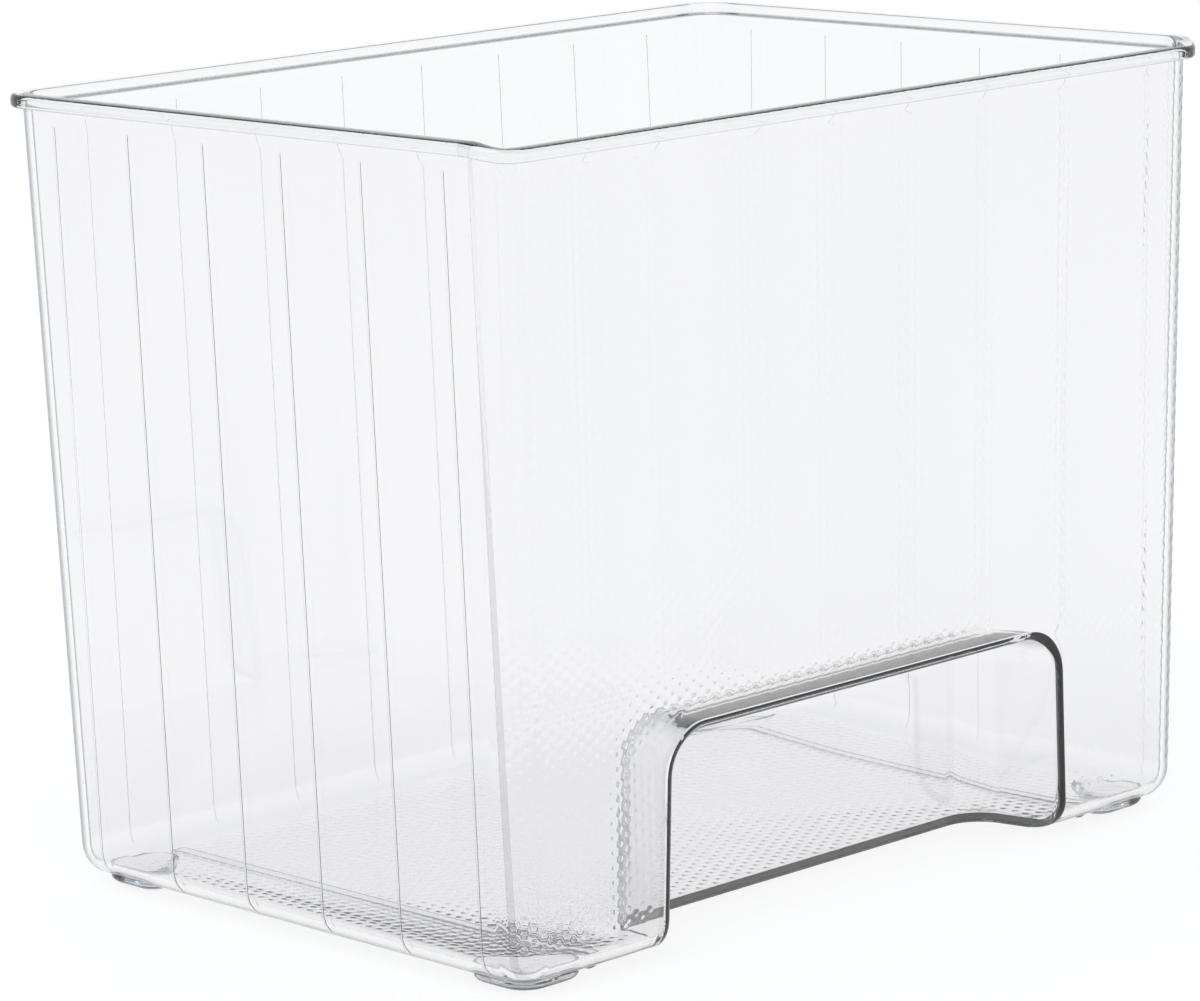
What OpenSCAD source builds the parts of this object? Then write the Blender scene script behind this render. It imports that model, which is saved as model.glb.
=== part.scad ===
// Clear open storage bin with a textured front, a finger pocket at the foot of the front,
// thin upright ribs on the sides and back, four corner feet and two runners.
// Front faces -Y, +X is to the right, +Z up. Origin: middle of the footprint, on the ground.

/* [Bin] */
// Overall width over the rim, left to right
bin_w = 250; // [235:5:270]
// Overall depth over the rim, front to back
bin_d = 180; // [175:5:210]
// Overall height, from the ground to the top of the rim
bin_h = 200; // [180:5:220]
// Thickness of the walls and the floor
wall_t = 2.2; // [1.8:0.1:3]
// How far each wall leans in between the rim and the floor
lean = 4; // [2:0.5:6]
// Radius of the four upright corners, outside, at the rim
corner_r = 9; // [8.5:0.5:12]
// Radius where the walls turn into the floor, outside
floor_r = 8; // [6:0.5:8]

/* [Rim] */
// How far the rim stands out from the walls
rim_out = 3; // [2:0.5:4]
// Height of the rim band
rim_h = 3.2; // [2.6:0.2:5]
// Rounding of the rim's outer edges
rim_edge = 0.9; // [0.4:0.1:1.2]
// How much lower the front's rim is than the rim of the sides and back
front_drop = 1.6; // [0.8:0.2:2.4]

/* [Ribs] */
// Number of ribs on the back wall
back_ribs = 8; // [4:1:8]
// Number of ribs on each side wall
side_ribs = 6; // [3:1:6]
// Width of one rib
rib_w = 0.8; // [0.6:0.1:1.4]
// How far a rib stands out from the wall
rib_out = 0.5; // [0.3:0.1:1]
// Plain band between the rim and the top of the ribs
rib_gap = 4; // [2:0.5:8]

/* [Finger pocket] */
// Width of the pocket across the front, at its open foot
pocket_w = 140; // [110:5:145]
// Height of the pocket
pocket_h = 52; // [40:2:60]
// Depth of the pocket at its open foot
pocket_d = 26; // [20:1:32]
// Radius of the pocket's two upright back corners
pocket_r = 14; // [12:1:16]
// Angle at which the pocket's sides spread towards the front
pocket_flare = 11; // [0:1:14]
// Radius along the top edge of the pocket
pocket_top_r = 10; // [6:1:11]
// How much narrower and shallower the pocket is at its top
pocket_draft = 2; // [1:0.5:3]

/* [Underside] */
// Height of the feet below the floor
foot_h = 2.5; // [1.5:0.5:4]
// Length of a foot along each wall
foot_l = 24; // [18:1:25]
// How far a foot's outer edge sits in from the foot of the walls
foot_in = 2; // [2:0.5:4]
// How far a foot's lower edge is drawn in, so that it stands on a smaller pad
foot_edge = 2; // [1:0.5:3]
// Width of a runner
runner_w = 4; // [2:0.5:4]
// Height of a runner
runner_h = 1.5; // [0.5:0.1:1.5]
// Distance of a runner's middle line from the foot of the side wall
runner_in = 30; // [30:1:34]

/* [Hidden] */

arc_steps = 8;                          // straight pieces in each rounded corner
bend_steps = 5;                         // straight pieces in each rounded edge
spare = 1;                              // extra length of a cutting shape
half_w = bin_w / 2 - rim_out;           // walls' outer face at the top, from the middle
half_d = bin_d / 2 - rim_out;
foot_half_w = half_w - lean;            // the same at the foot of the walls
foot_half_d = half_d - lean;
wall_h = bin_h - foot_h;
lean_angle = atan(lean / wall_h);
split_y = -half_d + corner_r;           // where the front meets the tub
front_top = bin_h - front_drop;
rib_pitch = bin_w / (back_ribs + 1);
rib_foot = foot_h + floor_r * 0.6;      // a rib dies out in the floor bend
rib_sunk = 0.6;                         // part of a rib inside the wall
foot_pad_r = 5;                         // rounding of a foot's inner ends
pad_skin = 0.3;                         // height over which a foot keeps its pad's outline
pocket_reach = 20;                      // how far the pocket's cutter runs out in front
top_turn = 80;                          // turn of the bend along the pocket's top edge
clear = [0.86, 0.91, 0.94, 0.45];

// How far the walls stand in from their place at the top, at height z
function lean_at(z) = lean * (bin_h - z) / wall_h;

// Outline of a rounded rectangle from x0 to x1 and y0 to y1 at height z
function ring(z, x0, x1, y0, y1, r) =
    [for (c = [[x1 - r, y1 - r, 0], [x0 + r, y1 - r, 90], [x0 + r, y0 + r, 180], [x1 - r, y0 + r, 270]])
        for (i = [0:arc_steps])
            let (a = c[2] + 90 * i / arc_steps)
                [c[0] + r * cos(a), c[1] + r * sin(a), z]];

// Closed solid through a stack of outlines with equal numbers of points
module loft(rings) {
    n = len(rings[0]);
    last = len(rings) - 1;
    walls = [for (j = [0:last - 1]) for (i = [0:n - 1])
        let (a = j * n + i, b = j * n + (i + 1) % n)
            each [[a, a + n, b + n], [a, b + n, b]]];
    foot = [[for (i = [0:n - 1]) i]];
    head = [[for (i = [n - 1:-1:0]) last * n + i]];
    polyhedron(points = [for (r = rings) each r], faces = concat(foot, walls, head), convexity = 6);
}

// One outline of the walls, t inside their outer face and drawn in further by inset
function wall_ring(z, t, inset) =
    let (x = half_w - lean_at(z) - t - inset, y = half_d - lean_at(z) - t - inset)
        ring(z, -x, x, -y, y, corner_r - t - inset);

// Solid bounded by the walls and floor, t inside their outer face, up to height top
module wall_solid(t, top) {
    r = floor_r - t;
    bend = [for (i = [0:bend_steps])
        let (a = 90 * i / bend_steps)
            wall_ring(foot_h + t + r * (1 - cos(a)), t, r * (1 - sin(a)))];
    loft(concat(bend, [wall_ring(top, t, 0)]));
}

// Rim band with rounded outer edges, its top at height top
module rim_solid(top) {
    x = bin_w / 2;
    y = bin_d / 2;
    low = top - rim_h;
    loft([for (s = [[low, rim_edge], [low + rim_edge, 0], [top - rim_edge, 0], [top, rim_edge]])
        ring(s[0], -x + s[1], x - s[1], -y + s[1], y - s[1], corner_r + rim_out - s[1])]);
}

// Everything in front of the line where the front meets the tub, up to the front's rim
module front_zone() {
    translate([-bin_w, -bin_d, -spare]) cube([2 * bin_w, bin_d + split_y, front_top + spare]);
}

// Everything in front of that line, at any height
module front_space() {
    translate([-bin_w, -bin_d, -spare]) cube([2 * bin_w, bin_d + split_y, bin_h + 3 * spare]);
}

// One outline of the finger pocket, t outside its hollow, drawn in by inset and by draft
function pocket_ring(z, t, inset, draft) =
    let (r = pocket_r + t - inset,
         back = -foot_half_d + pocket_d + t - inset - draft,
         front = -bin_d / 2 - pocket_reach,
         mouth = pocket_w / 2 + (t - inset) / cos(pocket_flare) - draft,
         spread = tan(pocket_flare),
         mid_y = back - r,
         mid_x = mouth - (mid_y + foot_half_d) * spread - r / cos(pocket_flare),
         front_x = mouth - (front + foot_half_d) * spread,
         turn = 90 - pocket_flare)
        concat(
            [for (i = [0:arc_steps]) let (a = pocket_flare + turn * i / arc_steps)
                [mid_x + r * cos(a), mid_y + r * sin(a), z]],
            [for (i = [0:arc_steps]) let (a = 90 + turn * i / arc_steps)
                [-mid_x + r * cos(a), mid_y + r * sin(a), z]],
            [[-front_x, front, z], [front_x, front, z]]);

// The finger pocket's hollow, or with t its outer skin
module pocket_solid(t) {
    r = pocket_top_r + t;
    spring = foot_h + pocket_h - pocket_top_r;
    bend = [for (i = [0:bend_steps]) let (a = top_turn * i / bend_steps)
        pocket_ring(spring + r * sin(a), t, r * (1 - cos(a)), pocket_draft)];
    loft(concat([pocket_ring(foot_h - spare, t, 0, 0)], bend));
}

// One rib, standing on the wall that faces +X, at its place along Y
module rib() {
    length = bin_h - rim_h - rib_gap - rib_foot;
    translate([half_w, 0, bin_h])
        rotate([0, lean_angle, 0])
            translate([-rib_sunk, -rib_w / 2, -rim_h - rib_gap - length])
                cube([rib_sunk + rib_out, rib_w, length]);
}

// The ribs of both sides and the back
module ribs() {
    for (side = [0, 180], i = [0:side_ribs - 1])
        rotate([0, 0, side])
            translate([0, (i - (side_ribs - 1) / 2) * rib_pitch, 0]) rib();
    for (i = [0:back_ribs - 1])
        translate([(i - (back_ribs - 1) / 2) * rib_pitch, half_d - half_w, 0])
            rotate([0, 0, 90]) rib();
}

// Floor, sides and back in one, with their rim
module tub() {
    color(clear) difference() {
        union() {
            wall_solid(0, bin_h);
            rim_solid(bin_h);
            ribs();
        }
        wall_solid(wall_t, bin_h + spare);
        front_space();
        pocket_solid(wall_t);
    }
}

// Front wall with both front corners and the lower rim
module front_panel() {
    color(clear) difference() {
        intersection() {
            union() {
                wall_solid(0, bin_h);
                rim_solid(front_top);
            }
            front_zone();
        }
        wall_solid(wall_t, bin_h + spare);
        pocket_solid(wall_t);
    }
}

// Smooth shell of the finger pocket, open to the front and downwards
module handle_pocket() {
    color(clear) difference() {
        intersection() {
            pocket_solid(wall_t);
            wall_solid(0, bin_h);
        }
        pocket_solid(0);
    }
}

// Outline of a foot under the corner at +X +Y, drawn in by inset
module foot_outline(inset) {
    x = foot_half_w - foot_in;
    y = foot_half_d - foot_in;
    outer = corner_r - foot_in;
    hull() {
        translate([x - outer, y - outer]) circle(r = outer - inset, $fn = 48);
        translate([x - foot_l + foot_pad_r, y - foot_pad_r]) circle(r = foot_pad_r - inset, $fn = 32);
        translate([x - foot_pad_r, y - foot_l + foot_pad_r]) circle(r = foot_pad_r - inset, $fn = 32);
    }
}

// One foot under that corner, tapering to its pad and shaped to the floor bend above it
module foot() {
    color(clear) difference() {
        hull() {
            linear_extrude(pad_skin) foot_outline(foot_edge);
            translate([0, 0, foot_h - pad_skin]) linear_extrude(floor_r) foot_outline(0);
        }
        wall_solid(0, bin_h);
    }
}

// One runner under the floor, on the side given by 1 or -1
module runner(side) {
    length = 2 * (foot_half_d - floor_r);
    color(clear)
        translate([side * (foot_half_w - runner_in) - runner_w / 2, -length / 2, foot_h - runner_h])
            cube([runner_w, length, runner_h]);
}

tub();
front_panel();
handle_pocket();
mirror([1, 0, 0]) mirror([0, 1, 0]) foot();  // front_left_foot
mirror([0, 1, 0]) foot();  // front_right_foot
mirror([1, 0, 0]) foot();  // back_left_foot
foot();  // back_right_foot
runner(-1);  // left_runner
runner(1);  // right_runner
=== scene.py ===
"""A clear, open storage bin for a fridge shelf, dressed round its packed design frame."""
import logging
import math
from dataclasses import dataclass
from enum import Enum
from typing import Callable, Sequence

import bmesh
import bpy
from mathutils import Matrix, Vector
from mathutils.geometry import delaunay_2d_cdt


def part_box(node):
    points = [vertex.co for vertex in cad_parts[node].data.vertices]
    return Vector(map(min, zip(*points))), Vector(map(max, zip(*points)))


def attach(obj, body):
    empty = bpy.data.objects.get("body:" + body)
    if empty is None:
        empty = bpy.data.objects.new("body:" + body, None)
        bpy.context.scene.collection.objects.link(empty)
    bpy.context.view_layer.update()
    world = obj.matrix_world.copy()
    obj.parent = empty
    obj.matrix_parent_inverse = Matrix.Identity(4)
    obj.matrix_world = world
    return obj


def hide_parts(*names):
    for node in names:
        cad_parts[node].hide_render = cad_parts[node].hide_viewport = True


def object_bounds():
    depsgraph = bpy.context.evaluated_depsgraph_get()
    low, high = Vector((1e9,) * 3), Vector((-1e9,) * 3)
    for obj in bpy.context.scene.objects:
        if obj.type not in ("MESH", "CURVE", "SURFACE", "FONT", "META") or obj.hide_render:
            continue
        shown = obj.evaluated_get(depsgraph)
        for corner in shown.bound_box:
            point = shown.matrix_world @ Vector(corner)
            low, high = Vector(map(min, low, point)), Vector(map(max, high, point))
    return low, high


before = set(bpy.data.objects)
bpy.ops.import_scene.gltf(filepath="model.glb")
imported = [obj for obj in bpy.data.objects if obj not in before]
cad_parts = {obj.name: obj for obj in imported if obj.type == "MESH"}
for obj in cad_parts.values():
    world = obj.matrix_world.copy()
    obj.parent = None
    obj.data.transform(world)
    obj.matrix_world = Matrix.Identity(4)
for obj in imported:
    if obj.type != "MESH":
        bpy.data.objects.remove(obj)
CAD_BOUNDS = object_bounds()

log = logging.getLogger("fridge_bin")

MM = 0.001
GAP = 0.03 * MM  # room between neighbouring pieces, so that no two faces lie in one place
LAP = 0.03 * MM  # how far pieces that are one clear body reach into each other, so that their seams stay clear
SMOOTH_ANGLE = math.radians(38)
Point2 = tuple[float, float]
Point3 = tuple[float, float, float]
Color = tuple[float, float, float, float]


# ---- sizes


@dataclass(frozen=True)
class BinSizes:
    """Driving sizes of the bin, in metres, with its overall box read from the frame."""

    width: float
    depth: float
    height: float
    wall: float = 2.2 * MM
    lean: float = 4 * MM
    corner: float = 9 * MM
    bend: float = 8 * MM
    rim_out: float = 3 * MM
    rim_height: float = 3.2 * MM
    front_drop: float = 1.6 * MM
    foot_height: float = 2.5 * MM
    back_ribs: int = 8
    side_ribs: int = 6

    @classmethod
    def from_frame(cls) -> "BinSizes":
        """Reads the overall width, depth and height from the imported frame."""
        low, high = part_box("tub")
        front_low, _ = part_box("front_panel")
        foot_low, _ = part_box("front_left_foot")
        return cls(width=high.x - low.x, depth=high.y - front_low.y, height=high.z - foot_low.z)

    @property
    def half_width(self) -> float:
        """Outer face of the side walls at the top, from the middle."""
        return self.width / 2 - self.rim_out

    @property
    def half_depth(self) -> float:
        """Outer face of the front and back walls at the top, from the middle."""
        return self.depth / 2 - self.rim_out

    @property
    def floor_top(self) -> float:
        """Height of the floor's upper face."""
        return self.foot_height + self.wall

    @property
    def split(self) -> float:
        """Where the front panel meets the tub, along Y."""
        return -self.half_depth + self.corner

    @property
    def rib_pitch(self) -> float:
        """Distance between neighbouring ribs."""
        return self.width / (self.back_ribs + 1)

    def lean_at(self, z: float) -> float:
        """How far the walls stand in at height z from their place at the top."""
        return self.lean * (self.height - z) / (self.height - self.foot_height)

    def bend_inset(self, z: float) -> float:
        """How far the outer floor bend draws the wall in at height z."""
        rise = min(max(z - self.foot_height, 0.0), self.bend)
        return self.bend - math.sqrt(max(self.bend**2 - (self.bend - rise) ** 2, 0.0))


class Side(Enum):
    """The four straight sides and the corners between them, in order round the bin."""

    RIGHT = 0
    BACK = 1
    LEFT = 2
    FRONT = 3
    CORNER = 4


@dataclass(frozen=True)
class Station:
    """One place along the bin's outline.

    at is a share of the straight from -1 to 1, a distance in metres where fixed is set,
    or the share of a corner's turn. quarter is the corner's number, and rise the share of
    a rib's height that stands here.
    """

    side: Side
    at: float
    fixed: bool = False
    quarter: int = 0
    rise: float = 0.0


@dataclass(frozen=True)
class Row:
    """One line round the bin: inset from the wall's outer face, height, and the ribs' share."""

    inset: float
    z: float
    ribs: float = 0.0


def arc_shares(steps: int) -> list[float]:
    """Shares from 0 to 1 in equal steps, both ends included."""
    return [i / steps for i in range(steps + 1)]


class Outline:
    """The bin's outline as a closed ring of stations, counterclockwise seen from above."""

    TURN: dict[Side, tuple[int, int]] = {
        Side.RIGHT: (1, 0), Side.BACK: (0, 1), Side.LEFT: (-1, 0), Side.FRONT: (0, -1)}

    def __init__(self, sizes: BinSizes, ribbed: bool, corner_steps: int = 14) -> None:
        """Lays out the stations.

        Args:
            sizes: the bin's sizes.
            ribbed: whether the sides and back carry ribs.
            corner_steps: straight pieces in each corner.
        """
        self.sizes = sizes
        self.stations: list[Station] = []
        for quarter, side in enumerate((Side.RIGHT, Side.BACK, Side.LEFT, Side.FRONT)):
            self.stations += self._straight(side, ribbed)
            self.stations += [Station(Side.CORNER, t, quarter=quarter) for t in arc_shares(corner_steps)]

    def _straight(self, side: Side, ribbed: bool) -> list[Station]:
        """Stations of one straight, in the order of travel, without its ends.

        Args:
            side: which straight.
            ribbed: whether to add the stations of ribs.

        Returns:
            The stations.
        """
        if side is Side.FRONT or not ribbed:
            return [Station(side, -0.96 + 1.92 * i / 24) for i in range(25)]
        count = self.sizes.back_ribs if side is Side.BACK else self.sizes.side_ribs
        found: list[Station] = []
        for i in range(count):
            middle = (i - (count - 1) / 2) * self.sizes.rib_pitch
            found += [Station(side, middle + across, True, rise=rise) for across, rise in RIB_SECTION]
        return found

    def point(self, station: Station, z: float, inset: float) -> Point3:
        """Place of a station at height z, inset from the wall's outer face.

        Args:
            station: the place along the outline.
            z: height.
            inset: distance inwards from the outer face, negative for outwards.

        Returns:
            The point.
        """
        s = self.sizes
        x = s.half_width - s.lean_at(z) - inset
        y = s.half_depth - s.lean_at(z) - inset
        r = max(s.corner - inset, 0.2 * MM)
        if station.side is Side.CORNER:
            cx = (x - r) * (1, -1, -1, 1)[station.quarter]
            cy = (y - r) * (1, 1, -1, -1)[station.quarter]
            a = math.pi / 2 * (station.quarter + station.at)
            return (cx + r * math.cos(a), cy + r * math.sin(a), z)
        nx, ny = self.TURN[station.side]
        run = (y if nx else x) - r
        along = station.at if station.fixed else station.at * run
        return (nx * x - ny * along, ny * y + nx * along, z)


RIB_SECTION: list[Point2] = (
    [(-0.75 * MM, 0.0)]
    + [(-0.4 * MM * math.cos(math.pi * t), math.sin(math.pi * t)) for t in arc_shares(8)]
    + [(0.75 * MM, 0.0)])
RIB_OUT = 0.12 * MM


# ---- mesh making


class Mesher:
    """Collects points and faces, and turns them into a smooth, closed piece."""

    def __init__(self) -> None:
        """Starts with nothing."""
        self.points: list[Point3] = []
        self.faces: list[tuple[int, ...]] = []

    def add(self, points: Sequence[Point3]) -> list[int]:
        """Adds points and returns their numbers.

        Args:
            points: the points.

        Returns:
            One number for each point.
        """
        first = len(self.points)
        self.points += [tuple(p) for p in points]
        return list(range(first, len(self.points)))

    def strip(self, low: Sequence[int], high: Sequence[int], closed: bool = False) -> None:
        """Joins two lines with equal numbers of points by a strip of quads.

        Args:
            low: numbers of one line's points.
            high: numbers of the other's.
            closed: whether the lines are rings.
        """
        n = len(low)
        for i in range(n if closed else n - 1):
            j = (i + 1) % n
            self.faces.append((low[i], low[j], high[j], high[i]))

    def grid(self, rows: Sequence[Sequence[int]], closed: bool = False) -> None:
        """Joins a stack of lines, each to the next."""
        for low, high in zip(rows, rows[1:]):
            self.strip(low, high, closed)

    def face(self, ring: Sequence[int]) -> None:
        """Adds one face with many corners."""
        self.faces.append(tuple(ring))

    def stack(self, rows: Sequence[Sequence[int]], closed: bool) -> None:
        """Joins a stack of lines and closes it at both ends.

        Args:
            rows: numbers of the points of each line.
            closed: whether the lines are rings. If not, the side between their ends is closed too.
        """
        self.grid(rows, closed)
        self.face(rows[0])
        self.face(rows[-1])
        if not closed:
            self.face([row[0] for row in rows] + [row[-1] for row in reversed(rows)])

    def patch(self, ring: Sequence[int], flat: Sequence[Point2], inner: Sequence[Point2],
              place: Callable[[int], Point3]) -> None:
        """Fills a convex ring with triangles through further points.

        Args:
            ring: numbers of the ring's points.
            flat: the ring's points in the flat, in the same order.
            inner: further points in the flat.
            place: gives the place of further point i in space.
        """
        added = self.add([place(i) for i in range(len(inner))])
        numbers = list(ring) + added
        cloud = [Vector(p) for p in list(flat) + list(inner)]
        _, _, faces, origin, _, _ = delaunay_2d_cdt(cloud, [], [], 0, 1e-9)
        for corners in faces:
            self.faces.append(tuple(numbers[origin[c][0]] for c in corners))

    def piece(self, name: str) -> bpy.types.Object:
        """Makes the object.

        Args:
            name: the piece's name.

        Returns:
            The object, with its faces turned outwards.
        """
        mesh = bpy.data.meshes.new(name)
        mesh.from_pydata(self.points, [], self.faces)
        made = bmesh.new()
        made.from_mesh(mesh)
        bmesh.ops.remove_doubles(made, verts=made.verts, dist=1e-7)
        bmesh.ops.delete(made, geom=[v for v in made.verts if not v.link_faces], context="VERTS")
        bmesh.ops.recalc_face_normals(made, faces=made.faces)
        made.to_mesh(mesh)
        made.free()
        piece = bpy.data.objects.new(name, mesh)
        bpy.context.scene.collection.objects.link(piece)
        return piece


class Cut(Enum):
    """What a cutter does to a piece."""

    AWAY = "DIFFERENCE"
    KEEP = "INTERSECT"


def cut(piece: bpy.types.Object, cutter: bpy.types.Object, how: Cut) -> None:
    """Cuts a piece with another and keeps the result as its mesh.

    Args:
        piece: the piece to change.
        cutter: a closed object, which stays.
        how: whether the cutter's space is taken away or kept.
    """
    step = piece.modifiers.new("cut", "BOOLEAN")
    step.operation = how.value
    step.solver = "MANIFOLD"
    step.object = cutter
    bpy.context.view_layer.update()
    graph = bpy.context.evaluated_depsgraph_get()
    mesh = bpy.data.meshes.new_from_object(piece.evaluated_get(graph))
    piece.modifiers.clear()
    old, piece.data = piece.data, mesh
    bpy.data.meshes.remove(old)


def discard(*helpers: bpy.types.Object) -> None:
    """Removes helper objects that were only used for cutting."""
    for helper in helpers:
        bpy.data.objects.remove(helper)


def smooth(piece: bpy.types.Object) -> None:
    """Shades a piece smooth, with creases where its faces meet steeply."""
    piece.data.polygons.foreach_set("use_smooth", [True] * len(piece.data.polygons))
    piece.data.set_sharp_from_angle(angle=SMOOTH_ANGLE)


def block(name: str, low: Point3, high: Point3) -> bpy.types.Object:
    """A plain cutting block.

    Args:
        name: the helper's name.
        low: lowest corner.
        high: highest corner.

    Returns:
        The helper object.
    """
    mesher = Mesher()
    rings = [mesher.add([(x, y, z) for x, y in ((low[0], low[1]), (high[0], low[1]),
                                                (high[0], high[1]), (low[0], high[1]))])
             for z in (low[2], high[2])]
    mesher.stack(rings, closed=True)
    return mesher.piece(name)


# ---- beads


@dataclass(frozen=True)
class BeadField:
    """Low round beads in staggered columns over a flat stretch."""

    across: float = 2.36 * MM
    along: float = 3.57 * MM
    radius: float = 0.92 * MM
    height: float = 0.06 * MM
    sides: int = 6

    def points(self, low: Point2, high: Point2, keep: Callable[[float, float], bool]) -> tuple[
            list[Point2], list[float]]:
        """Lays the beads out.

        Args:
            low: lowest corner of the stretch.
            high: highest corner.
            keep: says whether a bead may stand at a place.

        Returns:
            The beads' points in the flat, and the height of each.
        """
        flat: list[Point2] = []
        heights: list[float] = []
        columns = int((high[0] - low[0]) / self.across)
        rows = int((high[1] - low[1]) / self.along)
        left = (low[0] + high[0] - columns * self.across) / 2
        foot = (low[1] + high[1] - rows * self.along) / 2
        for i in range(columns + 1):
            for j in range(rows + 1):
                u = left + i * self.across
                v = foot + (j + 0.5 * (i % 2)) * self.along
                if not (low[0] < u < high[0] and low[1] < v < high[1] and keep(u, v)):
                    continue
                flat.append((u, v))
                heights.append(self.height)
                for share, level in ((0.58, 0.66), (1.0, 0.0)):
                    for k in range(self.sides):
                        a = 2 * math.pi * (k + 0.5 * (share < 1)) / self.sides
                        flat.append((u + share * self.radius * math.cos(a), v + share * self.radius * math.sin(a)))
                        heights.append(self.height * level)
        return flat, heights


# ---- walls


def wall_rows(s: BinSizes) -> list[Row]:
    """The wall's section, from the floor's upper face over the rim to its underside.

    Args:
        s: the bin's sizes.

    Returns:
        The rows, in order.
    """
    inner = s.bend - s.wall
    rim_top = s.height
    rim_low = rim_top - s.rim_height
    soft, crown, heel = 0.9 * MM, 1.2 * MM, 0.8 * MM
    rib_top = s.height - s.rim_height - 4 * MM
    quarter = [math.pi / 2 * t for t in arc_shares(8)]
    short = [math.pi / 2 * t for t in arc_shares(4)]
    rows = [Row(s.wall + inner * (1 - math.sin(a)), s.floor_top + inner * (1 - math.cos(a))) for a in quarter]
    rows += [Row(s.wall, s.floor_top + inner + 0.6 * MM), Row(s.wall, rim_top - soft - 0.5 * MM)]
    rows += [Row(s.wall - soft * (1 - math.cos(a)), rim_top - soft * (1 - math.sin(a))) for a in short]
    rows += [Row(-s.rim_out + crown * (1 - math.sin(a)), rim_top - crown * (1 - math.cos(a))) for a in short]
    rows += [Row(-s.rim_out + heel * (1 - math.cos(a)), rim_low + heel * (1 - math.sin(a))) for a in short]
    rows += [Row(-0.5 * MM * (1 - math.sin(a)), rim_low - 0.5 * MM * (1 - math.cos(a))) for a in short]
    rows += [Row(0, rib_top + 0.3 * MM), Row(0, rib_top, 0.5), Row(0, rib_top - 0.5 * MM, 1)]
    rows += [Row(0, s.foot_height + s.bend + 0.6 * MM, 1)]
    rows += [Row(s.bend * (1 - math.sin(a)), s.foot_height + s.bend * (1 - math.cos(a)),
                 max(0.0, min(1.0, (a / (math.pi / 2) - 0.55) / 0.2))) for a in reversed(quarter)]
    return rows


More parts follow.
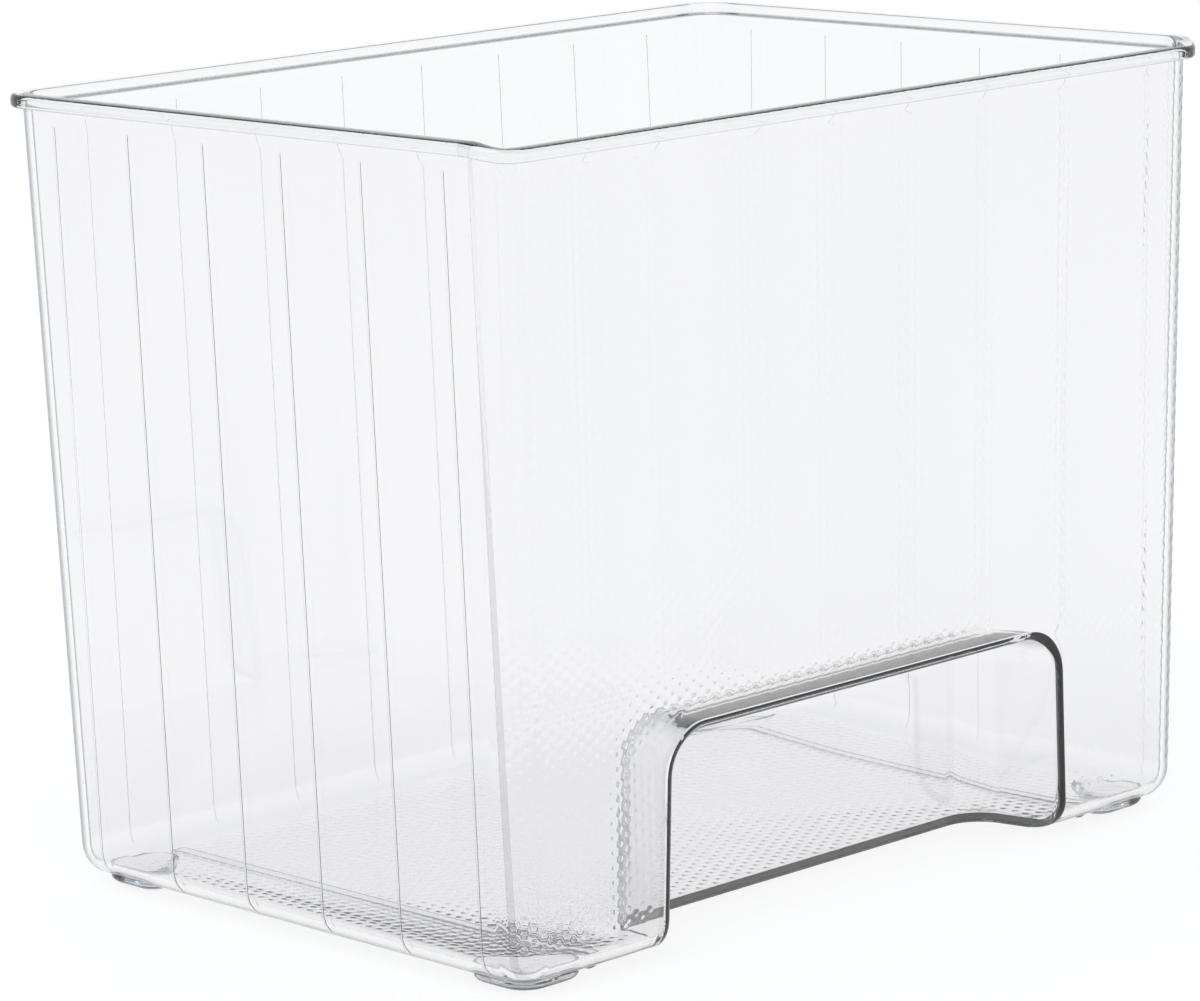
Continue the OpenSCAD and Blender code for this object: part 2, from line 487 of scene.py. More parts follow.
class WallShell:
    """The closed skin of floor, walls and rim, before it is split into tub and front panel."""

    def __init__(self, sizes: BinSizes, outline: Outline) -> None:
        """Lays out the rows.

        Args:
            sizes: the bin's sizes.
            outline: the ring of stations.
        """
        self.sizes = sizes
        self.outline = outline
        self.rows = wall_rows(sizes)
        self.mesher = Mesher()
        self.lines = [self.mesher.add([self._point(st, row) for st in outline.stations]) for row in self.rows]

    def _point(self, station: Station, row: Row) -> Point3:
        """Place of a station on a row, with the ribs, and with the rim's step down to the front.

        Args:
            station: the place along the outline.
            row: the line round the bin.

        Returns:
            The point.
        """
        z = row.z
        if z > self.sizes.height - self.sizes.rim_height - 2 * MM:
            z -= self.sizes.front_drop * self._front_share(station)
        return self.outline.point(station, z, row.inset - RIB_OUT * station.rise * row.ribs)

    @staticmethod
    def _front_share(station: Station) -> float:
        """How far a station has come down from the side rims to the front rim.

        Args:
            station: the place along the outline.

        Returns:
            The share, 0 at the side rims and 1 along the front.
        """
        if station.side is Side.FRONT:
            return 1.0
        if station.side is not Side.CORNER or station.quarter < 2:
            return 0.0
        turned = station.at if station.quarter == 2 else 1 - station.at
        share = min(turned / 0.7, 1.0)
        return share * share * (3 - 2 * share)

    def ribbed(self, name: str, beads: BeadField, keep: Callable[[float, float], bool]) -> bpy.types.Object:
        """Builds the skin with ribs, and with beads on the floor's upper face.

        Args:
            name: the piece's name.
            beads: the floor's beads.
            keep: says whether a bead may stand at a place on the floor.

        Returns:
            The closed piece.
        """
        self.mesher.grid(self.lines, closed=True)
        floor = self.lines[0]
        flat = [self.mesher.points[i][:2] for i in floor]
        reach = (max(p[0] for p in flat) - 3 * MM, max(p[1] for p in flat) - 3 * MM)
        inner, heights = beads.points((-reach[0], -reach[1]), reach, keep)
        top = self.sizes.floor_top
        self.mesher.patch(floor, flat, inner, lambda i: (*inner[i], top + heights[i]))
        self.mesher.face(self.lines[-1])
        return self.mesher.piece(name)

    def beaded_front(self, name: str, beads: BeadField,
                     keep: Callable[[float, float], bool]) -> bpy.types.Object:
        """Builds the skin with beads on the front's outer face and round both front corners.

        Args:
            name: the piece's name.
            beads: the front's beads.
            keep: says whether a bead may stand at x and height z.

        Returns:
            The closed piece.
        """
        stations = self.outline.stations
        n = len(stations)
        first = next(i for i, st in enumerate(stations) if st.side is Side.LEFT and st.at > 0.85)
        last = n + next(i for i, st in enumerate(stations) if st.side is Side.RIGHT and st.at > -0.85)
        front = [i % n for i in range(first, last + 1)]
        high = max(i for i, row in enumerate(self.rows) if row.inset <= 0 and row.ribs == 0 and row.z > 0.1)
        low = next(i for i, row in enumerate(self.rows) if i > high and row.z < 0.05)
        for i, (a, b) in enumerate(zip(self.lines, self.lines[1:])):
            if high <= i < low:
                continue
            self.mesher.strip(a, b, closed=True)
        rest = [i % n for i in range(last, first + n + 1)]
        self.mesher.strip([self.lines[high][i] for i in rest], [self.lines[low][i] for i in rest])
        self.mesher.face(self.lines[0])
        self.mesher.face(self.lines[-1])
        self._bead_band(front, self.lines[high], self.lines[low], beads, keep)
        return self.mesher.piece(name)

    def _bead_band(self, front: Sequence[int], top: Sequence[int], foot: Sequence[int],
                   beads: BeadField, keep: Callable[[float, float], bool]) -> None:
        """Fills the band between two rows, along the front, with a beaded skin.

        Args:
            front: numbers of the stations along the band.
            top: point numbers of the upper row.
            foot: point numbers of the lower row.
            beads: the beads.
            keep: says whether a bead may stand at x and height z.
        """
        z_top = self.mesher.points[top[0]][2]
        z_foot = self.mesher.points[foot[0]][2]
        along = [0.0]
        for a, b in zip(front, front[1:]):
            pa, pb = (Vector(self.mesher.points[top[k]]) for k in (a, b))
            along.append(along[-1] + (pb - pa).length)
        places = [self.outline.stations[i] for i in front]

        def at(u: float, z: float, rise: float) -> Point3:
            """Place of a point of the band.

            Args:
                u: distance along the band.
                z: height.
                rise: how far it stands out.

            Returns:
                The point.
            """
            k = max(i for i in range(len(along) - 1) if along[i] <= u or i == 0)
            share = (u - along[k]) / (along[k + 1] - along[k])
            a, b = places[k], places[k + 1]
            if a.side is b.side:
                return self.outline.point(
                    Station(a.side, a.at + share * (b.at - a.at), quarter=a.quarter), z, -rise)
            if b.side is Side.CORNER:
                return self.outline.point(Station(a.side, a.at + share * (1 - a.at)), z, -rise)
            return self.outline.point(Station(b.side, -1 + share * (b.at + 1)), z, -rise)

        margin = 1.6 * MM
        flat, heights = beads.points((margin, z_foot + margin), (along[-1] - margin, z_top - margin),
                                     lambda u, z: keep(at(u, z, 0)[0], z))
        ring = [foot[i] for i in front] + [top[i] for i in reversed(front)]
        outline = [(u, z_foot) for u in along] + [(u, z_top) for u in reversed(along)]
        self.mesher.patch(ring, outline, flat, lambda i: at(flat[i][0], flat[i][1], heights[i]))


# ---- finger pocket


@dataclass(frozen=True)
class FingerPocket:
    """The smooth pocket at the foot of the front, open to the front and downwards."""

    sizes: BinSizes
    mouth: float = 70 * MM
    height: float = 52 * MM
    depth: float = 26 * MM
    spread: float = math.tan(math.radians(11))
    draft: float = 2 * MM
    back_radius: float = 8 * MM
    top_radius: float = 10 * MM
    lip: float = 1.7 * MM
    back_steps: int = 12

    def face(self, z: float) -> float:
        """The wall's outer face at height z, along Y, floor bend left out."""
        return -(self.sizes.half_depth - self.sizes.lean_at(z))

    def back(self, z: float, skin: float) -> float:
        """The pocket's back at height z, along Y."""
        share = (z - self.sizes.foot_height) / self.height
        return self.face(self.sizes.foot_height) + self.depth + skin - self.draft * share

    def clear_of(self, x: float, z: float, border: float) -> bool:
        """Whether a place on the front lies outside the pocket.

        Args:
            x: distance from the middle.
            z: height.
            border: how far outside it has to lie.

        Returns:
            True if it does.
        """
        top = self.sizes.foot_height + self.height + self.sizes.wall
        side = self.mouth + self.sizes.wall
        round_off = self.top_radius
        dx = abs(x) - (side - round_off)
        dz = z - (top - round_off)
        if dx <= 0 or dz <= 0:
            return max(dx, dz) > round_off + border
        return math.hypot(dx, dz) > round_off + border

    def arch(self, z_low: float, skin: float, deep: Callable[[float], float], flare: float) -> list[Point3]:
        """One arched line of the pocket, from its left foot over the top to its right foot.

        Args:
            z_low: height of the feet.
            skin: distance outside the hollow.
            deep: gives the depth behind the wall's face at a height.
            flare: how far the lip's rounding opens the line.

        Returns:
            The points.
        """
        s = self.sizes
        from_back = self.depth + skin - deep(s.height)

        def draw_in(radius: float) -> float:
            """How far a back edge of that radius draws the line in."""
            near = max(radius - from_back, 0.0)
            return radius - math.sqrt(max(radius**2 - near**2, 0.0))

        side_in = draw_in(self.back_radius + skin)
        top_in = draw_in(self.top_radius + skin)
        top = s.foot_height + self.height + skin - top_in + flare
        turn = max(self.top_radius + skin - 0.75 * max(side_in, top_in) + flare, 2.5 * MM)
        lows = [0.0, 0.3, 0.8, 1.5, 2.4, 3.5, 4.8, 6.2, 7.6, 9.0, 11.0]
        heights = [z_low + (s.foot_height - z_low) * (1 if low else 0) + low * MM for low in lows]
        heights += [h + (top - turn - heights[-1]) * t for h in heights[-1:] for t in (0.33, 0.66)]

        def half(z: float) -> float:
            """Half the line's width at height z, its round corners left out."""
            rise = (z - s.foot_height) / self.height
            return (self.mouth + skin / math.cos(math.atan(self.spread)) - self.spread * deep(z)
                    - self.draft * rise - side_in + flare)

        left: list[tuple[float, float]] = [(half(z), z) for z in heights]
        for t in arc_shares(10):
            a = math.pi / 2 * t
            z = top - turn + turn * math.sin(a)
            left.append((half(z) - turn * (1 - math.cos(a)), z))
        crown = left[-1][0]
        line = [(-x, z) for x, z in left]
        line += [(-crown + 2 * crown * i / 12, top) for i in range(1, 12)]
        line += [(x, z) for x, z in reversed(left)]
        found: list[Point3] = []
        for x, z in line:
            d = deep(z)
            plain = self.face(z) + d
            far = max((d - 0.5 * self.depth) / (0.5 * self.depth + skin), 0.0)
            drift = self.back(z, skin) - (self.face(z) + self.depth + skin)
            found.append((x, plain + drift * far, z))
        return found

    def _depths(self, skin: float) -> list[float]:
        """Depths of the lines behind the lip.

        Args:
            skin: distance outside the hollow.

        Returns:
            The depths, the last of them at the pocket's back.
        """
        end = self.depth + skin
        start = self.depth - self.back_radius
        radius = end - start
        turned = [start + radius * math.sin(math.pi / 2 * t) for t in arc_shares(self.back_steps)]
        return [end if i == self.back_steps else d for i, d in enumerate(turned)]

    def shell(self, name: str) -> bpy.types.Object:
        """Builds the pocket's closed shell, with a rounded lip.

        Args:
            name: the piece's name.

        Returns:
            The piece.
        """
        s = self.sizes
        low = s.foot_height
        mesher = Mesher()
        lip_steps = [self.lip * (1 - math.cos(math.pi / 2 * t)) for t in arc_shares(7)]
        hollow, outer = [], []
        for step in lip_steps:
            def near(z: float, step: float = step) -> float:
                """Depth of a lip line, which follows the wall's floor bend."""
                return s.bend_inset(z) + step
            opened = self.lip - math.sqrt(max(self.lip**2 - (self.lip - step) ** 2, 0.0))
            hollow.append(self.arch(low, 0, near, opened))
            outer.append(self.arch(low, s.wall - GAP, near, 0))
        for rows, skin in ((hollow, 0.0), (outer, s.wall - GAP)):
            rows += [self.arch(low, skin, lambda z, d=d: d, 0) for d in self._depths(skin)]
        inside = [mesher.add(line) for line in hollow]
        outside = [mesher.add(line) for line in outer]
        mesher.grid(inside)
        mesher.grid(outside)
        mesher.strip(inside[0], outside[0])
        for end in (0, -1):
            mesher.strip([line[end] for line in inside], [line[end] for line in outside])
        mesher.face(inside[-1])
        mesher.face(outside[-1])
        mesher.face((inside[-1][0], inside[-1][-1], outside[-1][-1], outside[-1][0]))
        return mesher.piece(name)

    def seat(self, name: str) -> bpy.types.Object:
        """The space that the shell takes up, with the room in front of it and below it, as a cutter.

        Args:
            name: the helper's name.

        Returns:
            The helper object.
        """
        mesher = Mesher()
        skin = self.sizes.wall
        low = self.sizes.foot_height - 4 * MM
        depths = [-15 * MM, 0.0] + self._depths(skin)
        lines = [mesher.add(self.arch(low, skin, lambda z, d=d: d, 0)) for d in depths]
        mesher.stack(lines, closed=False)
        return mesher.piece(name)


# ---- underside


@dataclass(frozen=True)
class Foot:
    """A low rounded foot under one corner, shaped to the floor bend above it."""

    sizes: BinSizes
    x_sign: int
    y_sign: int
    length: float = 21 * MM
    set_in: float = 5 * MM
    outer_radius: float = 8 * MM
    inner_radius: float = 6 * MM
    dome: float = 5.5 * MM

    def outline(self, inset: float) -> list[Point2]:
        """The foot's outline.

        Args:
            inset: how far it is drawn in.

        Returns:
            The points.
        """
        s = self.sizes
        x = s.half_width - s.lean - self.set_in
        y = s.half_depth - s.lean - self.set_in
        outer = self.outer_radius
        rounds = ((x - outer, y - outer, outer, 0, 90),
                  (x - self.length + self.inner_radius, y - self.inner_radius, self.inner_radius, 90, 225),
                  (x - self.inner_radius, y - self.length + self.inner_radius, self.inner_radius, 225, 360))
        found: list[Point2] = []
        for cx, cy, r, start, end in rounds:
            for t in arc_shares(10):
                a = math.radians(start + (end - start) * t)
                found.append((self.x_sign * (cx + (r - inset) * math.cos(a)),
                              self.y_sign * (cy + (r - inset) * math.sin(a))))
        return found

    def build(self, name: str, body: bpy.types.Object) -> bpy.types.Object:
        """Builds the foot.

        Args:
            name: the piece's name.
            body: the bin's outer shape, which is cut away.

        Returns:
            The piece.
        """
        mesher = Mesher()
        rise = self.sizes.foot_height
        turns = [math.pi / 2 * t for t in arc_shares(9)]
        profile = [(self.dome * (1 - math.sin(a)), rise * (1 - math.cos(a))) for a in turns] + [(0.0, rise + 4.5 * MM)]
        lines = [mesher.add([(*p, z) for p in self.outline(inset)]) for inset, z in profile]
        mesher.stack(lines, closed=True)
        piece = mesher.piece(name)
        cut(piece, body, Cut.AWAY)
        return piece


@dataclass(frozen=True)
class Runner:
    """A low bar under the floor, from front to back."""

    sizes: BinSizes
    x_sign: int
    width: float = 4 * MM
    height: float = 1.5 * MM
    set_in: float = 30 * MM
    end_round: float = 1.2 * MM

    def build(self, name: str) -> bpy.types.Object:
        """Builds the runner, with a rounded underside and rounded ends.

        Args:
            name: the piece's name.

        Returns:
            The piece.
        """
        s = self.sizes
        middle = self.x_sign * (s.half_width - s.lean - self.set_in)
        half = s.half_depth - s.lean - s.bend
        mesher = Mesher()
        lines = []
        steps = [(-half + self.end_round * (1 - math.cos(math.pi / 2 * t)), math.sin(math.pi / 2 * t))
                 for t in arc_shares(5)][1:]
        for y, size in steps + [(-y, size) for y, size in reversed(steps)]:
            points = [(middle + self.width / 2 * math.cos(a),
                       y, s.foot_height + LAP - (self.height + LAP) * size * math.sin(a) ** 0.6)
                      for a in (math.pi * t for t in arc_shares(12))]
            lines.append(mesher.add(points))
        mesher.stack(lines, closed=False)
        return mesher.piece(name)


def outer_body(sizes: BinSizes, outline: Outline) -> bpy.types.Object:
    """The bin's outer shape without its rim, a lap smaller, as a cutter for the feet.

    Args:
        sizes: the bin's sizes.
        outline: a plain ring of stations.

    Returns:
        The helper object.
    """
    mesher = Mesher()
    bend = [math.pi / 2 * t for t in arc_shares(10)]
    rows = [Row(sizes.bend * (1 - math.sin(a)), sizes.foot_height + sizes.bend * (1 - math.cos(a))) for a in bend]
    rows.append(Row(0, 60 * MM))
    lines = []
    for row in rows:
        ring = [outline.point(st, row.z, row.inset + LAP) for st in outline.stations]
        lines.append(mesher.add([(x, y, z + LAP) for x, y, z in ring]))
    mesher.stack(lines, closed=True)
    return mesher.piece("outer_body_helper")


# ---- materials


def new_group(name: str, inputs: Sequence[tuple[str, str, float | tuple[float, ...]]],
              outputs: Sequence[tuple[str, str]]) -> tuple[bpy.types.NodeTree, bpy.types.Node, bpy.types.Node]:
    """Starts a shader node group with named inputs and outputs.

    Args:
        name: the group's name.
        inputs: name, socket type and default of each input.
        outputs: name and socket type of each output.

    Returns:
        The group, its input node and its output node.
    """
    group = bpy.data.node_groups.new(name, "ShaderNodeTree")
    for label, kind, value in inputs:
        socket = group.interface.new_socket(name=label, in_out="INPUT", socket_type=kind)
        socket.default_value = value
    for label, kind in outputs:
        group.interface.new_socket(name=label, in_out="OUTPUT", socket_type=kind)
    return group, group.nodes.new("NodeGroupInput"), group.nodes.new("NodeGroupOutput")


def add_node(nodes: bpy.types.Nodes, kind: str, values: dict[str | int, object] | None = None,
             **traits: object) -> bpy.types.Node:
    """Adds a node and sets it up.

    Args:
        nodes: where to add it.
        kind: the shader node's type, without its prefix.
        values: values of its unlinked inputs, by name or number.
        traits: its own settings, which are set first.

    Returns:
        The node.
    """
    node = nodes.new("ShaderNode" + kind)
    for trait, value in traits.items():
        setattr(node, trait, value)
    for label, value in (values or {}).items():
        node.inputs[label].default_value = value
    return node


def wire(links: bpy.types.NodeLinks, *runs: tuple[bpy.types.Node, str | int, bpy.types.Node, str | int]) -> None:
    """Links nodes.

    Args:
        links: where to add the links.
        runs: for each link, a node and its output, then a node and its input.
    """
    for source, given, target, taken in runs:
        links.new(source.outputs[given], target.inputs[taken])


class FlowMarks:
    """Group: the faint cloudiness and waviness that moulding leaves in clear plastic."""

    def __init__(self) -> None:
        """Builds the group once."""
        self.group, given, out = new_group(
            "flow_marks",
            [("Scale", "NodeSocketFloat", 30.0), ("Clear", "NodeSocketColor", (1, 1, 1, 1)),
             ("Cloudy", "NodeSocketColor", (0.9, 0.9, 0.9, 1)), ("Smooth", "NodeSocketFloat", 0.0),
             ("Rough", "NodeSocketFloat", 0.05)],
            [("Color", "NodeSocketColor"), ("Roughness", "NodeSocketFloat"), ("Height", "NodeSocketFloat")])
        nodes, links = self.group.nodes, self.group.links
        place = add_node(nodes, "TexCoord")
        stretch = add_node(nodes, "Mapping", {"Scale": (1.0, 1.0, 0.35)})
        cloud = add_node(nodes, "TexNoise", {"Detail": 0.0})
        fine = add_node(nodes, "TexNoise", {"Detail": 0.0, "Scale": 900.0})
        tint = add_node(nodes, "Mix", data_type="RGBA")
        haze = add_node(nodes, "MapRange")
        wire(
            links, (place, "Object", stretch, "Vector"), (stretch, "Vector", cloud, "Vector"),
            (place, "Object", fine, "Vector"), (given, "Scale", cloud, "Scale"), (cloud, "Fac", tint, "Factor"),
            (given, "Clear", tint, "A"), (given, "Cloudy", tint, "B"), (fine, "Fac", haze, "Value"),
            (given, "Smooth", haze, "To Min"), (given, "Rough", haze, "To Max"), (tint, "Result", out, "Color"),
            (haze, "Result", out, "Roughness"), (cloud, "Fac", out, "Height"))


class ShelfScuffs:
    """Group: the fine scuffs that sliding over a shelf leaves low down."""

    def __init__(self) -> None:
        """Builds the group once."""
        self.group, given, out = new_group(
            "shelf_scuffs",
            [("Density", "NodeSocketFloat", 260.0), ("Reach", "NodeSocketFloat", 0.012),
             ("Amount", "NodeSocketFloat", 0.1)],
            [("Mask", "NodeSocketFloat")])
        nodes, links = self.group.nodes, self.group.links
        place = add_node(nodes, "TexCoord")
        split = add_node(nodes, "SeparateXYZ")
        stretch = add_node(nodes, "Mapping", {"Scale": (1.0, 0.12, 1.0), "Rotation": (0.0, 0.0, 0.5)})
        lines = add_node(nodes, "TexNoise", {"Detail": 1.0})
        thin = add_node(nodes, "MapRange", {"From Min": 0.62, "From Max": 0.7})
        low = add_node(nodes, "MapRange", {"To Min": 1.0, "To Max": 0.0})
        both = add_node(nodes, "Math", operation="MULTIPLY")
        part = add_node(nodes, "Math", operation="MULTIPLY")
        wire(
            links, (place, "Object", stretch, "Vector"), (place, "Object", split, "Vector"),
            (stretch, "Vector", lines, "Vector"), (given, "Density", lines, "Scale"), (lines, "Fac", thin, "Value"),
            (split, "Z", low, "Value"), (given, "Reach", low, "From Max"), (thin, "Result", both, 0),
            (low, "Result", both, 1), (both, "Value", part, 0), (given, "Amount", part, 1),
            (part, "Value", out, "Mask"))


class EdgeShadeCorners:
    """Group: the mask of the painted edge shade, 1 where an upright corner turns, and 0 on flat walls and level faces.
    """

    def __init__(self) -> None:
        """Builds the group once."""
        self.group, given, out = new_group(
            "edge_shade_corners", [("Spread", "NodeSocketFloat", 0.5)], [("Mask", "NodeSocketFloat")])
        nodes, links = self.group.nodes, self.group.links
        facing = add_node(nodes, "TexCoord")
        split = add_node(nodes, "SeparateXYZ")
        both = add_node(nodes, "Math", operation="MULTIPLY")
        twice = add_node(nodes, "Math", {1: 2.0}, operation="MULTIPLY")
        size = add_node(nodes, "Math", operation="ABSOLUTE")
        spread = add_node(nodes, "Math", operation="POWER", use_clamp=True)
        wire(
            links, (facing, "Normal", split, "Vector"), (split, "X", both, 0), (split, "Y", both, 1),
            (both, "Value", twice, 0), (twice, "Value", size, 0), (size, "Value", spread, 0),
            (given, "Spread", spread, 1), (spread, "Value", out, "Mask"))


@dataclass(frozen=True)
class ClearPlastic:
    """A clear moulded plastic: its tint, haze and waviness, and a painted shade that darkens its colour edge-on.

    edge_from and edge_full are where the painted dark edge shade starts and is full at a turning corner, from 0
    face-on to 1 edge-on. flat_share is how much of that painted shade flat faces take.
    """

    name: str
    clear: Color = (0.97, 0.965, 0.965, 1.0)
    cloudy: Color = (0.945, 0.941, 0.943, 1.0)
    # edge is the colour of the painted edge shade, a dark blue put into the base colour where the plastic turns
    # edge-on
    edge: Color = (0.025, 0.045, 0.085, 1.0)
    edge_power: float = 3.6
    edge_from: float = 0.42
    edge_full: float = 0.68
    flat_share: float = 0.12
    smooth: float = 0.0
    rough: float = 0.03
    wave: float = 0.02
    wave_depth: float = 2 * MM
    scuffs: float = 0.12
    ior: float = 1.57
    depth_tint: Color = (0.4, 0.55, 0.7, 1.0)
    density: float = 4.0

    def build(self, marks: FlowMarks, scuffs: ShelfScuffs, corners: EdgeShadeCorners) -> bpy.types.Material:
        """Makes the material.

        Args:
            marks: the flow mark group.
            scuffs: the scuff group.
            corners: the group that finds the turning corners.

        Returns:
            The material.
        """
        material = bpy.data.materials.new(self.name)
        material.use_nodes = True
        nodes, links = material.node_tree.nodes, material.node_tree.links
        shader = nodes["Principled BSDF"]
        shader.inputs["Transmission Weight"].default_value = 1.0
        shader.inputs["Metallic"].default_value = 0.0
        shader.inputs["IOR"].default_value = self.ior
        flow = add_node(nodes, "Group", {"Clear": self.clear, "Cloudy": self.cloudy, "Smooth": self.smooth,
                                         "Rough": self.rough}, node_tree=marks.group)
        worn = add_node(nodes, "Group", {"Amount": self.scuffs}, node_tree=scuffs.group)
        haze = add_node(nodes, "Math", operation="ADD", use_clamp=True)
        bump = add_node(nodes, "Bump", {"Strength": self.wave, "Distance": self.wave_depth})
        # painted edge shade: the base colour runs to dark blue where faces turn edge-on, most at upright corners
        links.new(self._paint_edge_shade(nodes, links, flow.outputs["Color"], corners), shader.inputs["Base Color"])
        wire(
            links, (flow, "Roughness", haze, 0), (worn, "Mask", haze, 1), (haze, "Value", shader, "Roughness"),
            (flow, "Height", bump, "Height"), (bump, "Normal", shader, "Normal"))
        depth = add_node(nodes, "VolumeAbsorption", {"Color": self.depth_tint, "Density": self.density})
        wire(links, (depth, "Volume", nodes["Material Output"], "Volume"))
        return material

    def _paint_edge_shade(self, nodes: bpy.types.Nodes, links: bpy.types.NodeLinks, color: bpy.types.NodeSocket,
                   corners: EdgeShadeCorners) -> bpy.types.NodeSocket:
        """Paints shade into a colour edge-on: full painted shade where a corner turns, and a little on flat faces.

        Args:
            nodes: the material's nodes.
            links: the material's links.
            color: the colour to darken.
            corners: the group that finds the turning corners.

        Returns:
            The socket of the colour with its painted shade.
        """
        facing = add_node(nodes, "LayerWeight", {"Blend": 0.5})
        turned = add_node(nodes, "MapRange", {"From Min": self.edge_from, "From Max": self.edge_full},
                          interpolation_type="SMOOTHSTEP")
        turns = add_node(nodes, "Group", node_tree=corners.group)
        cornered = add_node(nodes, "Math", operation="MULTIPLY")
        steep = add_node(nodes, "Math", {1: self.edge_power}, operation="POWER")
        flat = add_node(nodes, "Math", {1: self.flat_share}, operation="MULTIPLY")
        darker = add_node(nodes, "Math", operation="MAXIMUM")
        tint = add_node(nodes, "Mix", {"B": self.edge}, data_type="RGBA")
        wire(
            links, (facing, "Facing", turned, "Value"), (turned, "Result", cornered, 0), (turns, "Mask", cornered, 1),
            (facing, "Facing", steep, 0), (steep, "Value", flat, 0), (cornered, "Value", darker, 0),
            (flat, "Value", darker, 1), (darker, "Value", tint, "Factor"))
        links.new(color, tint.inputs["A"])
        return tint.outputs["Result"]


# ---- stage, light and camera


@dataclass(frozen=True)
class Stage:
    """A plain pale floor that glows a little, a pale surround and one soft lamp."""

    floor_size: float = 14.0
    floor_drop: float = 0.02 * MM
    floor_color: Color = (0.2, 0.202, 0.205, 1.0)
    floor_glow: Color = (1.0, 1.0, 1.0, 1.0)
    glow: float = 0.87
    horizon: Color = (1.0, 1.0, 1.0, 1.0)
    zenith: Color = (0.3, 0.36, 0.44, 1.0)
    lamp_place: Point3 = (-1.2, -0.6, 1.9)
    lamp_size: float = 1.6
    lamp_energy: float = 12.0

    def build(self) -> None:
        """Makes the floor, the surround and the lamp."""
        self._floor()
        self._surround()
        self._lamp()

    def _floor(self) -> None:
        """Makes the floor."""
        mesher = Mesher()
        steps = [self.floor_size * (t - 0.5) for t in arc_shares(8)]
        mesher.grid([mesher.add([(x, y, -self.floor_drop) for x in steps]) for y in steps])
        floor = mesher.piece("floor")
        material = bpy.data.materials.new("pale_floor")
        material.use_nodes = True
        nodes, links = material.node_tree.nodes, material.node_tree.links
        shader = nodes["Principled BSDF"]
        for label, value in {"Roughness": 0.9, "Specular IOR Level": 0.1, "Emission Color": self.floor_glow,
                             "Emission Strength": self.glow}.items():
            shader.inputs[label].default_value = value
        paler = tuple(c * 1.01 for c in self.floor_color[:3]) + (1.0,)
        grain = add_node(nodes, "TexNoise", {"Scale": 40.0})
        mix = add_node(nodes, "Mix", {"A": self.floor_color, "B": paler}, data_type="RGBA")
        wire(
            links, (grain, "Fac", mix, "Factor"), (mix, "Result", shader, "Base Color"))
        material.cycles.emission_sampling = "NONE"
        floor.data.materials.append(material)

    def _surround(self) -> None:
        """Makes the world: pale all round, darker overhead."""
        world = bpy.data.worlds.new("surround")
        bpy.context.scene.world = world
        world.use_nodes = True
        nodes, links = world.node_tree.nodes, world.node_tree.links
        place = add_node(nodes, "TexCoord")
        split = add_node(nodes, "SeparateXYZ")
        ramp = add_node(nodes, "ValToRGB")
        for stop, position, color in zip(ramp.color_ramp.elements, (0.1, 0.9), (self.horizon, self.zenith)):
            stop.position = position
            stop.color = color
        wire(
            links, (place, "Generated", split, "Vector"), (split, "Z", ramp, "Fac"),
            (ramp, "Color", nodes["Background"], "Color"))
        world.cycles.sampling_method = "NONE"

    def _lamp(self) -> None:
        """Hangs one large soft lamp."""
        lamp = bpy.data.lights.new("key_lamp", "AREA")
        lamp.size = self.lamp_size
        lamp.energy = self.lamp_energy
        holder = bpy.data.objects.new("key_lamp", lamp)
        bpy.context.scene.collection.objects.link(holder)
        holder.location = self.lamp_place
        aim = Vector((0, 0, 0.1)) - Vector(self.lamp_place)
        holder.rotation_euler = aim.to_track_quat("-Z", "Y").to_euler()


@dataclass(frozen=True)
class Camera:
    """The camera, placed round the bin's middle."""

    azimuth: float = -44.3
    elevation: float = 10.95
    distance: float = 1.290
    aim_drop: float = 0.0104
    aim_side: float = -0.0064
    roll: float = -1.7
    lens: float = 153.4

    def build(self, middle: Vector) -> None:
        """Makes the camera and sets it as the scene's.

        Args:
            middle: the middle of the bin's box.
        """
        a, e = math.radians(self.azimuth), math.radians(self.elevation)
        way = Vector((math.sin(a) * math.cos(e), -math.cos(a) * math.cos(e), math.sin(e)))
        aside = Vector((math.cos(a), math.sin(a), 0))
        place = middle + way * self.distance
        aim = middle - Vector((0, 0, self.aim_drop)) + aside * self.aim_side
        data = bpy.data.cameras.new("camera")
        data.lens = self.lens
        data.clip_end = 100
        camera = bpy.data.objects.new("camera", data)
        bpy.context.scene.collection.objects.link(camera)
        camera.location = place
        turn = (aim - place).to_track_quat("-Z", "Y").to_matrix().to_4x4()
        camera.rotation_euler = (turn @ Matrix.Rotation(math.radians(self.roll), 4, "Z")).to_euler()
        bpy.context.scene.camera = camera


# ---- the bin


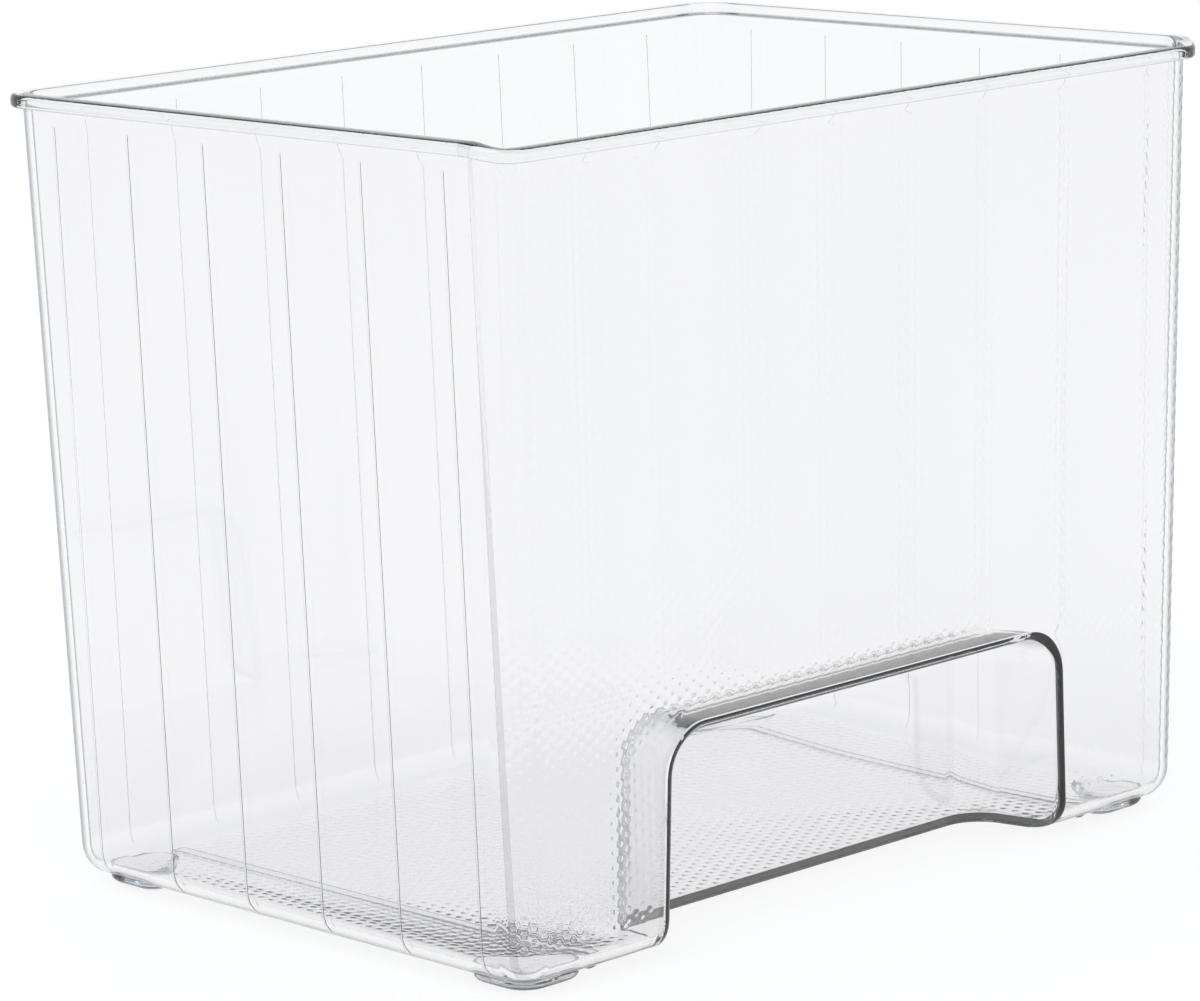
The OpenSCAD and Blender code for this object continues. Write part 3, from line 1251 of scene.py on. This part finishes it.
class FridgeBin:
    """The whole bin: tub, front panel, finger pocket, feet and runners."""

    def __init__(self, sizes: BinSizes) -> None:
        """Prepares the outlines, the pocket and the finishes.

        Args:
            sizes: the bin's sizes.
        """
        self.sizes = sizes
        self.plain = Outline(sizes, ribbed=False)
        self.pocket = FingerPocket(sizes)
        marks, scuffs, corners = FlowMarks(), ShelfScuffs(), EdgeShadeCorners()
        self.clear = ClearPlastic("clear_plastic").build(marks, scuffs, corners)
        self.beaded = ClearPlastic("textured_clear_plastic", rough=0.04).build(marks, scuffs, corners)
        self.footing = ClearPlastic("foot_plastic", rough=0.08, scuffs=0.25).build(marks, scuffs, corners)

    def _dress(self, piece: bpy.types.Object, node: str, material: bpy.types.Material) -> None:
        """Gives a piece its finish and ties it to the frame.

        Args:
            piece: the piece.
            node: the design node that it stands for.
            material: its finish.
        """
        smooth(piece)
        piece.data.materials.clear()
        piece.data.materials.append(material)
        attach(piece, "root")
        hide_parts(node)
        low, high = piece.bound_box[0], piece.bound_box[6]
        size = " x ".join(f"{(b - a) / MM:.1f}" for a, b in zip(low, high))
        log.info("%s: %s mm, %d faces", piece.name, size, len(piece.data.polygons))

    def build(self) -> None:
        """Builds and dresses every piece, in order."""
        self._tub_and_front()
        self._pocket()
        self._underside()

    def _tub_and_front(self) -> None:
        """Builds the tub and the front panel, which meet at the split."""
        s = self.sizes
        seat = self.pocket.seat("seat_helper")
        far = 0.4
        front = block("front_helper", (-far, -far, -far), (far, s.split + LAP / 2, far))
        rest = block("rest_helper", (-far, s.split - LAP / 2, -far), (far, far, far))
        ribbed = Outline(s, ribbed=True)
        pocket_back = self.pocket.back(s.foot_height, s.wall)
        pocket_side = self.pocket.mouth

        def on_floor(x: float, y: float) -> bool:
            """Whether a bead may stand there on the floor."""
            clear = 2.5 * MM
            return y > s.split + clear and (y > pocket_back + clear or abs(x) > pocket_side + clear)

        tub = WallShell(s, ribbed).ribbed(
            "tub_shell", BeadField(across=3.0 * MM, along=3.6 * MM, radius=1.1 * MM, height=0.07 * MM), on_floor)
        cut(tub, rest, Cut.KEEP)
        cut(tub, seat, Cut.AWAY)
        self._dress(tub, "tub", self.clear)
        panel = WallShell(s, self.plain).beaded_front(
            "front_panel_shell", BeadField(), lambda x, z: self.pocket.clear_of(x, z, 2.6 * MM))
        cut(panel, front, Cut.KEEP)
        cut(panel, seat, Cut.AWAY)
        self._dress(panel, "front_panel", self.beaded)
        discard(seat, front, rest)

    def _pocket(self) -> None:
        """Builds the finger pocket."""
        shell = self.pocket.shell("finger_pocket")
        self._dress(shell, "handle_pocket", self.clear)

    def _underside(self) -> None:
        """Builds the feet and the runners."""
        body = outer_body(self.sizes, self.plain)
        for end, y_sign in (("front", -1), ("back", 1)):
            for hand, x_sign in (("left", -1), ("right", 1)):
                foot = Foot(self.sizes, x_sign, y_sign).build(f"{end}_{hand}_foot_pad", body)
                self._dress(foot, f"{end}_{hand}_foot", self.footing)
        discard(body)
        for hand, x_sign in (("left", -1), ("right", 1)):
            runner = Runner(self.sizes, x_sign).build(f"{hand}_runner_bar")
            self._dress(runner, f"{hand}_runner", self.clear)


def main() -> None:
    """Builds the bin, its stage and its camera."""
    logging.basicConfig(level=logging.INFO, format="%(name)s: %(message)s")
    low, high = CAD_BOUNDS
    FridgeBin(BinSizes.from_frame()).build()
    Stage().build()
    Camera().build((Vector(low) + Vector(high)) / 2)
    scene = bpy.context.scene
    scene.view_settings.view_transform = "Standard"
    scene.cycles.max_bounces = 16
    scene.cycles.transmission_bounces = 16
    scene.cycles.glossy_bounces = 6
    scene.cycles.diffuse_bounces = 1
    scene.cycles.caustics_reflective = False


if __name__ == "__main__":
    main()
